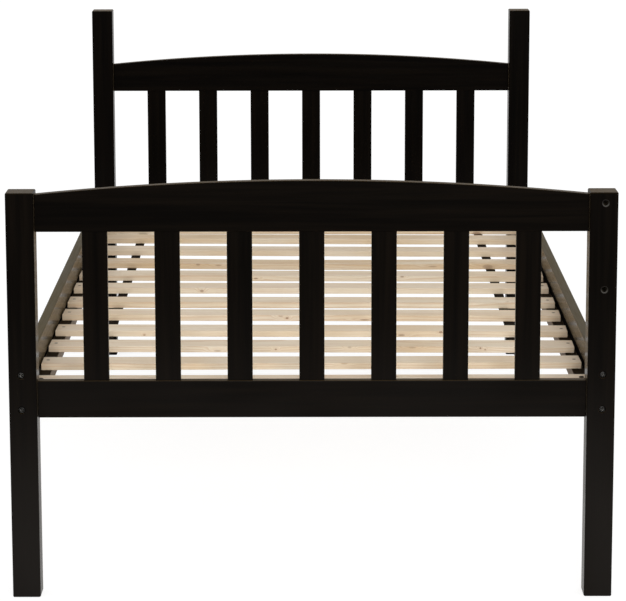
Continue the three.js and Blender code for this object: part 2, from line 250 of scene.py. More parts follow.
STREAKS_BROWN = (0.30, 0.76)
PORES_DARK = (0.56, 0.72, 0.0, 0.55)
BOUNCE_HEIGHT = (0.0, 0.62, 1.0, 0.0)
BOUNCE_CLOUDS = (0.25, 0.7, 0.55, 1.0)
LIT_TOPS_CLOUDS = (*NOISE_RANGE, 0.75, 1.0)
WORN_EDGE = (0.0022, 0.80)  # radius over which an edge is rubbed, and the cosine where it is in full
WORN_PATCHES = (0.48, 0.66)
WORN_SHARE = 0.5
UPWARD = (0.6, 0.98)  # how far a face turns up before it counts as a top, and as a full one
RIM_REFLECTION_FACING = (-0.5, 0.62)  # the same for the countersink's rim, which gets a painted reflection where it faces up
LACQUER_ROUGHNESS = (0.17, 0.23)
PORE_ROUGHNESS = (0.4, 0.7, 0.0, 0.10)  # added in the pores
TOP_ROUGHNESS = 0.13  # added on tops
BARE_ROUGHNESS = 0.7  # added where there is no lacquer
RELIEF_PORES = 0.7
RELIEF_STREAKS = 0.5
STAIN_RELIEF = (0.22, 0.0004)  # strength and depth

# The right foot post's two open holes, across and up; their radius, and that of the countersink
FIXING_HOLES = ((0.508, 0.706), (0.508, 0.5535))
HOLE_RADIUS = 0.0041
HOLE_SOFT_EDGE = 0.0003
COUNTERSINK_RADIUS = 0.0062
COUNTERSINK_SOFT_EDGE = 0.0004

# Faces towards the middle of the bed: how far out they reach, the height from which they are painted paler,
# their colour there, and how rough they are. On the rails the paler colour is a painted reflection of the
# pine slats and the white studio, and below the height they are painted darkest, as shade in the slot
# beside the slats. The slats lie a little to the left, so the dark slot beside them is wider at the right
# rail, and there the painted shade reaches 3 mm above the slat tops.
InnerFace = namedtuple("InnerFace", "reach lowest colour roughness")
SLAT_TOPS = 0.371
RAIL_TOPS = 0.41
LEFT_RAIL_FACE = InnerFace(0.4995, SLAT_TOPS - 0.0045, STAIN_PAINTED_REFLECTION, 0.20)
RIGHT_RAIL_FACE = InnerFace(0.4995, SLAT_TOPS + 0.003, STAIN_PAINTED_REFLECTION, 0.20)
LEDGER_FACE = InnerFace(0.4767, 0.0, STAIN_LEDGER_INNER, 0.42)
PALE_FACE_FADE = (-0.0015, 0.0005)  # from below the height to above it
PALE_FACE_STREAKS = (*NOISE_RANGE, 0.8, 1.0)
PALE_FACE_RISE = (RAIL_TOPS, 0.76, 1.0)  # it begins at the face's lowest
PALE_FACE_ROUGHNESS = (-0.02, 0.04)  # added between the streaks and in them
PALE_FACE_RELIEF = (0.0, 1.0, 1.0, 0.3)  # share of the wood's relief that shows in it


def disc(g, x, z, centre, radius, soft_edge):
    """1 within a radius of a centre line that runs along Y"""
    centre_x, centre_z = centre
    off = g.combine(g.math("SUBTRACT", x, centre_x), 0.0, g.math("SUBTRACT", z, centre_z))
    return g.spread(g.vector("LENGTH", off), radius, radius + soft_edge, 1.0, 0.0)


def stain(name, axis, tops, matt, sheen, holes=(), inner=None):
    """Dark stained, lacquered wood with its grain along one axis of the bed, and painted light on its tops:
    a lighter brown that stands for the light and warm reflection that tops catch.

    Holes run along Y; each has its place across and up. Each is painted darkest inside, as shade in the
    hole, and is rough there; its countersink has a painted reflection where it faces up. An inner face is
    painted paler above a height, which on the rails is a painted reflection; below it, it is painted
    darkest, as shade in the slot beside the slats, and has no lacquer."""
    g = Finish(
        name,
        Specular_IOR_Level=STAIN_SPECULAR,
        Sheen_Weight=sheen,
        Sheen_Roughness=SHEEN_ROUGHNESS,
        Sheen_Tint=SHEEN_TINT,
    )
    shift = g.times(g.node("ObjectInfo").outputs["Random"], PIECE_SHIFT)
    place = g.place()
    moved = g.vector("ADD", place, g.combine(shift, shift, shift))
    x, _, z = g.parts(place)
    _, _, upness = g.parts(g.facing())

    def grain(scales, **settings):
        across, along = scales
        size = [across] * 3
        size[axis] = along
        return g.noise(g.vector("MULTIPLY", moved, tuple(size)), **settings)

    streaks = grain(STREAKS, detail=4, roughness=0.6, distortion=0.4)
    pores = grain(PORES, detail=2, roughness=0.6)
    clouds = grain(CLOUDS, detail=2)
    patches = grain(PATCHES, detail=3)
    colour = g.mix(g.spread(streaks, *STREAKS_BROWN), STAIN_DEEP, STAIN_BROWN)
    colour = g.mix(g.spread(pores, *PORES_DARK), colour, STAIN_DEEP)

    # painted light: the lower legs are paler towards the floor, in cloudy patches, for light bounced up
    # from it
    painted_bounce = g.times(g.spread(z, *BOUNCE_HEIGHT), g.spread(clouds, *BOUNCE_CLOUDS))
    colour = g.mix(painted_bounce, colour, STAIN_PAINTED_BOUNCE)

    # painted light: tops get a lighter brown in cloudy patches, for the light and warm reflection they
    # catch, but not on the countersinks
    bores = [disc(g, x, z, hole, HOLE_RADIUS, HOLE_SOFT_EDGE) for hole in holes]
    rims = [disc(g, x, z, hole, COUNTERSINK_RADIUS, COUNTERSINK_SOFT_EDGE) for hole in holes]
    upward = g.spread(upness, *UPWARD)
    painted_top_light = g.times(upward, g.spread(clouds, *LIT_TOPS_CLOUDS))
    for rim in rims:
        painted_top_light = g.times(painted_top_light, g.rest_of(rim))
    colour = g.mix(painted_top_light, colour, tops)

    # stain rubbed thinner along the edges, and a painted reflection on the countersinks where they face up
    _, edge = g.edges(*WORN_EDGE)
    patchy = g.spread(patches, *WORN_PATCHES)
    colour = g.mix(g.times(edge, g.times(patchy, WORN_SHARE)), colour, STAIN_RUBBED)
    # painted reflection on each countersink, where it faces up
    for rim in rims:
        colour = g.mix(g.times(rim, g.spread(upness, *RIM_REFLECTION_FACING)), colour, STAIN_RIM_PAINTED_REFLECTION)
    # painted shade: each hole is darkest inside
    for bore in bores:
        colour = g.mix(bore, colour, STAIN_DEEP)

    lacquer = [rough + matt for rough in LACQUER_ROUGHNESS]
    roughness = g.add(g.spread(clouds, *NOISE_RANGE, *lacquer), g.spread(pores, *PORE_ROUGHNESS))
    roughness = g.add(roughness, g.times(upward, TOP_ROUGHNESS))
    for bore in bores:
        roughness = g.add(roughness, g.times(bore, BARE_ROUGHNESS))
    relief = g.add(g.times(pores, RELIEF_PORES), g.times(streaks, RELIEF_STREAKS))

    if inner:
        inward = g.math("LESS_THAN", g.math("ABSOLUTE", x), inner.reach)
        fade_from, fade_to = PALE_FACE_FADE
        high = g.spread(z, inner.lowest + fade_from, inner.lowest + fade_to)
        below = g.times(inward, g.rest_of(high))
        above = g.times(inward, high)
        # painted shade: below the height the face is darkest, as shade in the slot beside the slats
        colour = g.mix(below, colour, STAIN_DEEP)
        # painted reflection on the rails: the face is paler above the height, in streaks
        rise = g.spread(z, inner.lowest, *PALE_FACE_RISE)
        paler = g.times(g.spread(streaks, *PALE_FACE_STREAKS), rise)
        colour = g.mix(g.times(above, paler), colour, inner.colour)
        roughness = g.add(roughness, g.times(below, BARE_ROUGHNESS))
        pale_roughness = [inner.roughness + more for more in PALE_FACE_ROUGHNESS]
        streaky = g.spread(streaks, *NOISE_RANGE, *pale_roughness)
        roughness = g.add(g.times(roughness, g.rest_of(above)), g.times(above, streaky))
        relief = g.times(relief, g.spread(above, *PALE_FACE_RELIEF, smooth=False))

    g.set("Base Color", colour)
    g.set("Roughness", roughness)
    g.set("Normal", g.bump(relief, *STAIN_RELIEF))
    return g.material


# Bare pine
PINE_PALE = (0.84, 0.725, 0.555)
PINE_CREAM = (0.80, 0.655, 0.465)
PINE_LATE = (0.62, 0.40, 0.23)
PINE_PINK = (0.72, 0.53, 0.40)
PINE_HONEY = (0.68, 0.485, 0.27)
# painted shade at the slats' ends, next to the side rails
PINE_ENDS_SHADED = (0.50, 0.385, 0.265)
KNOT_RIM = (0.30, 0.17, 0.095)
KNOT_CORE = (0.42, 0.26, 0.15)
PINE_SPECULAR = 0.5
PINE_ROUGHNESS = (0.46, 0.58)
PINE_RELIEF = (0.30, 0.0003)  # strength and depth

# Noise cells per metre, along the slat and across it
WANDER = (2.4, 8.0)
WOBBLE = (9.0, 60.0)
TONE = (3.2, 26.0)
BLUSH = (2.1, 40.0)
FIBRES = (26.0, 1100.0)
BLUSH_SHIFT = (7.0, 3.0, 1.0)  # takes the blush from another place than the tone
SLAT_SHIFT = 3.7  # metres from where one slat takes its grain to where the next does

# How far, in metres, the growth rings leave their circle
WANDER_SIZE = 0.030
WOBBLE_SIZE = 0.0022
KNOT_PUSH = 0.0085
KNOT_PUSH_REACH = 4.5  # in knot sizes

# Within a growth ring, from its inner side: the late wood darkens slowly and ends at once
LATE_RISE = (0.30, 0.90)
LATE_FALL = (0.92, 1.0, 1.0, 0.0)
LATE_STRENGTH = (0.1, 1.0, 0.18, 1.0)
LATE_SHARE = 0.62

TONE_CREAM = (0.35, 0.65)
TONE_HONEY = (0.30, 0.62)
HONEY_SHARES = (0.15, 0.8)  # at the two ends of that ramp
BLUSH_PINK = (0.42, 0.68)
FIBRES_DARK = (0.50, 0.75, 0.0, 0.22)
HEART_INSIDE = 0.4  # share of a stretch's length that is as brown as it gets
HEART_SHARE = 0.6
HEART_FADE = 0.10  # metres
HEART_RAGGED = 0.12
END_SHADE = (0.385, 0.445, 0.0, 0.45)  # in metres from the slat's middle
KNOT_RAGGED = 0.7
# Round a knot: the colour, from and to in knot sizes, and how strong it is
KNOT_TONES = (
    (PINE_LATE, 0.9, 3.4, 0.30),
    (KNOT_RIM, 0.75, 1.15, 0.85),
    (KNOT_CORE, 0.35, 0.70, 0.70),
)

# How each slat was sawn and coloured, from the foot end. pith is the middle of the growth rings from the
# slat's own middle, across and up, in mm; ring is how far apart they are; honey and pink are how much
# of these tones there is; hearts are browner stretches (middle and half length along the slat, in mm,
# and how brown).
# Each knot has its place from the slat's middle (along, across, up) and its size, all in mm, then how
# dark it is and how many times longer than wide.
SLAT_LOOKS = [
    {"pith": (14, -46), "ring": 4.4, "honey": 0.05, "pink": 0.2, "hearts": [(-260, 130, 0.1)],
     "knots": [(150, 12, 6, 2.5, 0.5, 2)]},
    {"pith": (-30, -38), "ring": 5.2, "honey": 0.05, "pink": 0.20,
     "hearts": [(-215, 30, 1.3), (-92, 20, 0.9), (90, 40, 0.7), (250, 50, 1.0), (350, 60, 1.0)],
     "knots": [(60, -29, 5, 2.0, 0.3, 3)]},
    {"pith": (20, -60), "ring": 3.6, "honey": 0.0, "pink": 0.2, "hearts": [(190, 110, 1.0)],
     "knots": [(-177, -29, -3, 2.4, 0.35, 3), (-67, -29, 0, 1.7, 0.9, 1.5), (72, -29, 4, 2.0, 0.35, 2),
               (190, -29, 4, 2.0, 0.4, 4), (318, -29, 3, 1.5, 1.0, 1.3), (327, -29, 0, 1.2, 0.8, 1.3)]},
    {"pith": (-10, -34), "ring": 5.0, "honey": 0.3, "pink": 0.15, "hearts": [(60, 60, 0.3), (190, 80, 0.8)],
     "knots": [(-323, -29, -3, 1.7, 0.6, 1.5), (174, -29, -2, 2.2, 0.6, 3), (250, -29, 4, 1.8, 0.9, 2)]},
    {"pith": (34, -48), "ring": 4.0, "honey": 0.2, "pink": 0.3, "hearts": [(-430, 70, 0.5)],
     "knots": [(-48, -29, 0, 2.1, 1.0, 1.4), (106, -29, -3, 1.5, 0.8, 7), (-60, -29, 4, 2.5, 0.25, 2)]},
    {"pith": (4, -30), "ring": 5.6, "honey": 0.3, "pink": 0.1, "hearts": [(-400, 120, 0.4)],
     "knots": [(399, -17, 6, 1.6, 0.6, 1.3), (-470, -10, 6, 2.2, 0.6, 1.5)]},
    {"pith": (-36, -54), "ring": 3.8, "honey": 0.1, "pink": 0.4, "hearts": [(-330, 100, 0.25)],
     "knots": [(-228, -29, 0, 2.8, 0.7, 1.5)]},
    {"pith": (18, -40), "ring": 4.6, "honey": 0.25, "pink": 0.35, "hearts": [(390, 90, 0.4)],
     "knots": [(-118, -29, 0, 1.6, 0.8, 3), (194, -29, 5, 2.0, 0.7, 2)]},
    {"pith": (-16, -36), "ring": 5.4, "honey": 1.0, "pink": 0.2, "hearts": [(-330, 110, 1.0)],
     "knots": [(-247, -29, 3, 2.6, 0.6, 1.8), (-202, -29, 1, 1.9, 0.5, 4), (265, -29, 0, 1.6, 0.5, 6),
               (385, -29, -1, 6.0, 0.55, 1.8)]},
    {"pith": (28, -58), "ring": 4.2, "honey": 0.3, "pink": 0.5,
     "hearts": [(190, 90, 0.4), (380, 110, 0.35)],
     "knots": [(-20, 12, 6, 2.5, 0.5, 2)]},
    {"pith": (-24, -44), "ring": 4.8, "honey": 0.9, "pink": 0.3,
     "hearts": [(-320, 120, 0.45), (150, 150, 0.35)],
     "knots": [(-150, -14, 6, 2.5, 0.5, 2)]},
    {"pith": (10, -34), "ring": 5.2, "honey": 0.45, "pink": 0.3, "hearts": [(300, 120, 0.5)],
     "knots": [(387, -29, -5, 5.0, 0.8, 2.2), (-60, 8, 6, 3, 0.6, 1.5)]},
    {"pith": (-20, -50), "ring": 4.4, "honey": 0.3, "pink": 0.3, "hearts": [(0, 150, 0.3)],
     "knots": [(-260, 10, 6, 3, 0.6, 1.5)]},
]
MM = 0.001
SLAT_END_PART = 0.45  # what lies farther than this from a slat's middle counts as its end


def slat_lie(node):
    """The middle of a slat, as high as its ends, and how far it runs towards the head for each metre to
    the right"""
    low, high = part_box(node)
    middle = (low + high) / 2
    ends = {-1: [], 1: []}
    for vertex in nodes[node].data.vertices:
        if abs(vertex.co.x - middle.x) > SLAT_END_PART:
            ends[1 if vertex.co.x > middle.x else -1].append(vertex.co)
    left = sum(ends[-1], Vector()) / len(ends[-1])
    right = sum(ends[1], Vector()) / len(ends[1])
    middle.z = (left.z + right.z) / 2
    return middle, (right.y - left.y) / (right.x - left.x)


def late_wood(g, look, across, up, wander, wobble, knots, seed):
    """1 in the dark line at the outer side of each growth ring, and less in a weak ring"""
    pith_across, pith_up = look["pith"]
    from_pith = g.combine(
        0.0,
        g.math("SUBTRACT", across, pith_across * MM),
        g.math("SUBTRACT", up, pith_up * MM),
    )
    radius = g.vector("LENGTH", from_pith)
    radius = g.add(radius, g.times(wander, WANDER_SIZE))
    radius = g.add(radius, g.times(wobble, WOBBLE_SIZE))
    for far, _ in knots:
        radius = g.add(radius, g.spread(far, 0.0, KNOT_PUSH_REACH, KNOT_PUSH, 0.0))
    phase = g.math("DIVIDE", radius, look["ring"] * MM)
    within = g.math("FRACT", phase)
    which = g.node("TexWhiteNoise", noise_dimensions="1D")
    g.put(which.inputs["W"], g.add(g.math("FLOOR", phase), seed))
    strength = g.spread(which.outputs["Value"], *LATE_STRENGTH, smooth=False)
    line = g.times(g.spread(within, *LATE_RISE), g.spread(within, *LATE_FALL))
    return g.times(line, strength)


def pine(number, node, look):
    """Bare planed pine for one slat: growth rings round a pith below it, knots and browner stretches"""
    g = Finish(f"bare_pine_{number:02d}", Specular_IOR_Level=PINE_SPECULAR)
    middle, slope = slat_lie(node)
    # place from the slat's own middle, along it, across it and up
    along, side, up = g.parts(g.vector("SUBTRACT", g.place(), tuple(middle)))
    across = g.math("SUBTRACT", side, g.times(along, slope))
    seed = SLAT_SHIFT * number
    own = g.combine(g.add(along, seed), across, up)

    def grain(scales):
        scale_along, scale_across = scales
        return g.vector("MULTIPLY", own, (scale_along, scale_across, scale_across))

    # how far each knot is, in its own sizes, and how dark it is
    knots = []
    for knot_x, knot_y, knot_z, size, dark, stretch in look["knots"]:
        centre = (knot_x * MM, knot_y * MM, knot_z * MM)
        delta = g.vector("SUBTRACT", g.combine(along, across, up), centre)
        delta = g.vector("MULTIPLY", delta, (1 / stretch, 1.0, 1.0))
        knots.append((g.math("DIVIDE", g.vector("LENGTH", delta), size * MM), dark))
    wander = g.noise(grain(WANDER), detail=1.5)
    wobble = g.noise(grain(WOBBLE), detail=2.0)
    late = late_wood(g, look, across, up, wander, wobble, knots, seed)

    tone = g.noise(grain(TONE), detail=3, roughness=0.55)
    blush = g.noise(g.vector("ADD", grain(BLUSH), BLUSH_SHIFT), detail=2)
    fibres = g.noise(grain(FIBRES), detail=2, roughness=0.6)
    honey = [share * look["honey"] for share in HONEY_SHARES]
    colour = g.mix(g.spread(tone, *TONE_CREAM), PINE_PALE, PINE_CREAM)
    colour = g.mix(g.spread(blush, *BLUSH_PINK, 0.0, look["pink"]), colour, PINE_PINK)
    colour = g.mix(g.spread(tone, *TONE_HONEY, *honey), colour, PINE_HONEY)
    for heart_at, half_length, depth in look["hearts"]:
        far = g.math("ABSOLUTE", g.math("SUBTRACT", along, heart_at * MM))
        far = g.add(far, g.times(tone, HEART_RAGGED))
        reach = half_length * MM
        heart = g.spread(far, reach * HEART_INSIDE, reach + HEART_FADE, depth * HEART_SHARE, 0.0)
        colour = g.mix(heart, colour, PINE_HONEY)
    # painted shade: each slat darkens towards its ends, where the side rails shade it
    colour = g.mix(g.spread(g.math("ABSOLUTE", along), *END_SHADE), colour, PINE_ENDS_SHADED)
    colour = g.mix(g.times(late, LATE_SHARE), colour, PINE_LATE)
    colour = g.mix(g.spread(fibres, *FIBRES_DARK), colour, PINE_LATE)
    for far, dark in knots:
        ragged = g.add(far, g.times(g.math("SUBTRACT", wobble, 0.5), KNOT_RAGGED))
        for tint, near_end, far_end, strong in KNOT_TONES:
            colour = g.mix(g.spread(ragged, near_end, far_end, strong * dark, 0.0), colour, tint)
    g.set("Base Color", colour)
    g.set("Roughness", g.spread(fibres, *NOISE_RANGE, *PINE_ROUGHNESS))
    relief = g.add(g.times(fibres, 0.5), g.times(late, 0.5))
    g.set("Normal", g.bump(relief, *PINE_RELIEF))
    return g.material


# Steel and webbing
METAL_FINE = 900.0  # noise cells per metre
METAL_BROAD = 160.0
METAL_SHADE = 0.7  # of the plating's colour where it is darkest
METAL_MOTTLE = (0.35, 0.65)
METAL_EDGE = 0.82  # cosine of the turn at which an edge counts in full
# where the edges are painted bright: plating wear, and on the bolts a painted glint
METAL_WEAR_AND_GLINT = (0.3, 0.6)
METAL_ROUGHNESS = (-0.08, 0.12)  # added between the scratches and in them
METAL_RELIEF = (0.15, 0.0001)  # strength and depth
WEFT_PITCH = 0.0016
WARP_PITCH = 0.0020
FUZZ = 1500.0
WEBBING_DARK = (0.005, 0.0037, 0.0028)
WEBBING_LIGHT = (0.020, 0.014, 0.010)
WEBBING_SPECULAR = 0.05
WEBBING_ROUGHNESS = 0.9
WEBBING_SHADE = (0.2, 0.95)
WEAVE_SHARE = 0.6
FUZZ_SHARE = 0.5
WEBBING_RELIEF = (0.8, 0.0004)


def metal(name, colour, roughness, edge_wear_and_glint, soft_edge=0.0004):
    """Plated steel: fine scratches, and the edges, which are a little round, brighter: plating rubbed off,
    and on the bolts mostly a painted glint
    """
    g = Finish(name, Metallic=1.0)
    place = g.place()
    fine = g.noise(g.vector("MULTIPLY", place, (METAL_FINE,) * 3), detail=3, roughness=0.65)
    broad = g.noise(g.vector("MULTIPLY", place, (METAL_BROAD,) * 3), detail=2)
    rounded, edge = g.edges(soft_edge, METAL_EDGE)
    tint = g.mix(g.spread(broad, *METAL_MOTTLE), tuple(c * METAL_SHADE for c in colour), colour)
    g.set("Base Color", g.mix(g.times(edge, g.spread(fine, *METAL_WEAR_AND_GLINT)), tint, edge_wear_and_glint))
    g.set("Roughness", g.spread(fine, *NOISE_RANGE, *[roughness + more for more in METAL_ROUGHNESS]))
    g.set("Normal", g.bump(fine, *METAL_RELIEF, rounded))
    return g.material


def webbing_finish():
    """Woven polyester: ribs across the strap and yarns along it"""
    g = Finish("dark_webbing", Roughness=WEBBING_ROUGHNESS, Specular_IOR_Level=WEBBING_SPECULAR)
    place = g.place()
    x, y, _ = g.parts(place)
    weft = g.math("SINE", g.times(y, 2 * math.pi / WEFT_PITCH))
    warp = g.math("SINE", g.times(x, 2 * math.pi / WARP_PITCH))
    height = g.add(g.times(g.times(weft, warp), 0.5), 0.5)  # 0 to 1
    fuzz = g.noise(g.vector("MULTIPLY", place, (FUZZ,) * 3), detail=2)
    shade = g.add(g.times(height, WEAVE_SHARE), g.times(fuzz, FUZZ_SHARE))
    g.set("Base Color", g.mix(g.spread(shade, *WEBBING_SHADE), WEBBING_DARK, WEBBING_LIGHT))
    g.set("Normal", g.bump(shade, *WEBBING_RELIEF))
    return g.material


# the tops of these pieces get painted light
stain_along_x = stain("dark_stain_along_x", 0, STAIN_PAINTED_LIT_TOPS, matt=0.0, sheen=0.05)
stain_along_z = stain("dark_stain_along_z", 2, STAIN_PAINTED_LIT_TOPS, matt=0.0, sheen=0.05)
stain_with_holes = stain(
    "dark_stain_with_holes", 2, STAIN_PAINTED_LIT_TOPS, matt=0.0, sheen=0.05, holes=FIXING_HOLES
)
# the side rails' tops get painted light
rail_stain = {
    "side_rail_" + side: stain(
        "dark_stain_rail_" + side, 1, STAIN_RAIL_PAINTED_LIT_TOPS, matt=0.03, sheen=0.0, inner=face
    )
    for side, face in (("left", LEFT_RAIL_FACE), ("right", RIGHT_RAIL_FACE))
}
# the ledger's tops get painted shade
ledger_stain = stain(
    "matt_stain_along_y", 1, STAIN_SHADED_LEDGER_TOPS, matt=0.24, sheen=0.15, inner=LEDGER_FACE
)
# the bolts' bright edge colour is mostly a painted glint
bolt_steel = metal(
    "dark_zinc", colour=(0.012, 0.0115, 0.011), roughness=0.15, edge_wear_and_glint=(0.66, 0.64, 0.60), soft_edge=0.0008
)
nut_steel = metal("bright_zinc", colour=(0.42, 0.42, 0.41), roughness=0.36, edge_wear_and_glint=(0.60, 0.60, 0.58))
screw_steel = metal("screw_steel", colour=(0.23, 0.185, 0.13), roughness=0.38, edge_wear_and_glint=(0.30, 0.26, 0.20))
blued_steel = metal("blued_steel", colour=(0.026, 0.023, 0.016), roughness=0.42, edge_wear_and_glint=(0.10, 0.09, 0.065))
staple_wire = metal("staple_wire", colour=(0.50, 0.49, 0.47), roughness=0.30, edge_wear_and_glint=(0.62, 0.61, 0.59))
webbing = webbing_finish()
slat_names = sorted(name for name in nodes if name.startswith("deck_slat"))


def finish_of(name):
    """The finish of a CAD node"""
    if name in slat_names:
        index = slat_names.index(name)
        return pine(index + 1, name, SLAT_LOOKS[index])
    if name.startswith("bolt"):
        return bolt_steel
    if name.startswith("barrel"):
        return nut_steel
    if name.startswith("slat_strap"):
        return webbing
    if "bottom_rail" in name or "top_rail" in name:
        return stain_along_x
    if name == "foot_post_right":
        return stain_with_holes
    if name.startswith("ledger"):
        return ledger_stain
    return rail_stain.get(name, stain_along_z)


for name, node in nodes.items():
    node.data.materials.clear()
    node.data.materials.append(finish_of(name))


def new_piece(name, mesh, finish):
    piece = bpy.data.objects.new(name, mesh)
    scene.collection.objects.link(piece)
    mesh.materials.append(finish)
    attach(piece, "root")
    return piece


def mesh_of(name, vertices, faces):
    """A smooth mesh whose faces all look outward"""
    mesh = bpy.data.meshes.new(name)
    mesh.from_pydata(vertices, [], faces)
    mesh.validate()
    form = bmesh.new()
    form.from_mesh(mesh)
    bmesh.ops.recalc_face_normals(form, faces=form.faces)
    form.to_mesh(mesh)
    form.free()
    mesh.polygons.foreach_set("use_smooth", [True] * len(mesh.polygons))
    return mesh


def circle(count):
    """Cosine and sine of count even turns"""
    turns = [2 * math.pi * i / count for i in range(count)]
    return [(math.cos(turn), math.sin(turn)) for turn in turns]


def swept(rings):
    """Vertices and faces of a closed tube through rings of points, with both ends capped"""
    count = len(rings[0])
    vertices = [point for ring in rings for point in ring]
    faces = []
    for step in range(len(rings) - 1):
        for i in range(count):
            a = step * count + i
            b = step * count + (i + 1) % count
            faces.append((a, b, b + count, a + count))
    last = (len(rings) - 1) * count
    faces.append(tuple(reversed(range(count))))
    faces.append(tuple(range(last, last + count)))
    return vertices, faces


def joined(parts):
    """Many vertex and face lists as one"""
    vertices, faces = [], []
    for more_vertices, more_faces in parts:
        base = len(vertices)
        vertices += more_vertices
        faces += [tuple(base + i for i in face) for face in more_faces]
    return vertices, faces


lies = {name: slat_lie(name) for name in slat_names}


def slat_y(name, x):
    """Where the middle line of a slat is along the bed, at x"""
    middle, slope = lies[name]
    return middle.y + slope * (x - middle.x)


# Webbing straps: stapled up under each slat, and hanging a little between slats
STRAP_SAG = 0.0018
STRAP_STEP = 0.005
STRAP_RING = 20  # points round the strap
STRAP_SIDES = 0.3  # powers that make a ring's circle a flat band with round sides
STRAP_FACES = 0.7
STRAP_STRAY = 0.0003  # how far the strap wanders sideways
STRAP_STRAY_RATE = 9.0
SLAT_HALF = 0.029
STAPLE_SPACING = 0.009  # from the slat's middle line
STAPLE_CROWN = 0.0098
STAPLE_LEG = 0.007
STAPLE_BEND = 0.0008  # its radius
STAPLE_BEND_STEPS = 3
STAPLE_WIRE = (0.0006, 0.0004)  # half sizes of the flat wire


def strap_sag(y, crossings):
    """How far a strap hangs at y, between the slats that it crosses"""
    before = [c for c in crossings if c <= y]
    after = [c for c in crossings if c > y]
    if not before or not after:
        return 0.0
    start = before[-1] + SLAT_HALF
    end = after[0] - SLAT_HALF
    if not start < y < end:
        return 0.0
    return STRAP_SAG * math.sin(math.pi * (y - start) / (end - start)) ** 2


def strap_piece(side):
    node = "slat_strap_" + side
    low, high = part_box(node)
    middle_x = (low.x + high.x) / 2
    middle_z = (low.z + high.z) / 2
    half_width = (high.x - low.x) / 2
    half_thick = (high.z - low.z) / 2
    crossings = [slat_y(name, middle_x) for name in slat_names]
    steps = round((high.y - low.y) / STRAP_STEP)
    rings = []
    for step in range(steps + 1):
        y = low.y + (high.y - low.y) * step / steps
        x = middle_x + STRAP_STRAY * math.sin(y * STRAP_STRAY_RATE)
        z = middle_z - strap_sag(y, crossings)
        ring = []
        for c, s in circle(STRAP_RING):
            flat = half_width * math.copysign(abs(c) ** STRAP_SIDES, c)
            tall = half_thick * math.copysign(abs(s) ** STRAP_FACES, s)
            ring.append((x + flat, y, z + tall))
        rings.append(ring)
    name = "webbing_strap_" + side
    strap = new_piece(name, mesh_of(name, *swept(rings)), webbing)
    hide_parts(node)

    staples = []
    for y in crossings:
        for offset in (-STAPLE_SPACING, STAPLE_SPACING):
            staples.append(staple(middle_x, y + offset, low.z))
    name = "strap_staples_" + side
    new_piece(name, mesh_of(name, *joined(staples)), staple_wire)


def staple(x, y, z):
    """A staple driven up through a strap: its crown lies across the strap's underside at z"""
    wide, thick = STAPLE_WIRE
    half = STAPLE_CROWN / 2
    crown_z = z - thick
    # half of it: along X, the height, and the way its wire's outer side faces
    path = [(-half, z + STAPLE_LEG, (1, 0)), (-half, crown_z + STAPLE_BEND, (1, 0))]
    for step in range(1, STAPLE_BEND_STEPS + 1):
        turn = step * math.pi / 2 / (STAPLE_BEND_STEPS + 1)
        path.append((
            -half + STAPLE_BEND * (1 - math.cos(turn)),
            crown_z + STAPLE_BEND * (1 - math.sin(turn)),
            (math.cos(turn), math.sin(turn)),
        ))
    path.append((-half + STAPLE_BEND, crown_z, (0, 1)))
    mirrored = [(-px, pz, (-nx, nz)) for px, pz, (nx, nz) in reversed(path)]
    rings = []
    for px, pz, (nx, nz) in path + mirrored:
        ring = []
        for across, out in ((-wide, -thick), (wide, -thick), (wide, thick), (-wide, thick)):
            ring.append((x + px + nx * out, y + across, pz + nz * out))
        rings.append(ring)
    return swept(rings)


# Screws: low domed heads with a cross recess. crown is the share of its height by which the rim lies
# lower.
ScrewHead = namedtuple("ScrewHead", "radius height recess crown")
END_SLAT_SCREW = ScrewHead(radius=0.0048, height=0.0022, recess=0.0014, crown=0.65)
SLAT_SCREW = ScrewHead(radius=0.0034, height=0.0006, recess=0.0004, crown=0.5)
LEDGER_SCREW = ScrewHead(radius=0.0040, height=0.0005, recess=0.0004, crown=0.5)
HEAD_SIDES = 40
HEAD_RINGS = 12
DOME_POWER = 2.6
HEAD_SKIRT = 0.0004  # how far the head goes on below the surface
ARM_LENGTH = 0.52  # of one arm of the cross, as a share of the head's radius
ARM_WIDTH = 0.13  # half of it
ARM_SIDE = (1.8, 0.8)  # in half widths: where an arm's side ends, and over how much it rises
ARM_TIP = (1.2, 0.4)  # the same at its tip, in arm lengths
SLAT_SCREW_INSET = 0.0118  # from the slat's end to the middle of the screw
INSET_STRAY = 0.0018  # how far the screws stray from that, and from the slat's middle line
ACROSS_STRAY = 0.0035
INSET_STRAY_RATE = 5.1  # these two and the turn make each screw differ from the next
ACROSS_STRAY_RATE = 3.3
SCREW_TURN = 2.399
SIDE_TURNS = 20  # and this one side from the other
LEDGER_SCREWS = 8


def arm_depth(along, across, radius):
    """1 in one arm of the cross, fading to 0 at its sides and end"""
    length = ARM_LENGTH * radius
    width = ARM_WIDTH * radius
    side_end, side_rise = ARM_SIDE
    tip_end, tip_rise = ARM_TIP
    sideways = min(1.0, max(0.0, (width * side_end - abs(across)) / (width * side_rise)))
    endways = min(1.0, max(0.0, (length * tip_end - abs(along)) / (length * tip_rise)))
    return sideways * endways


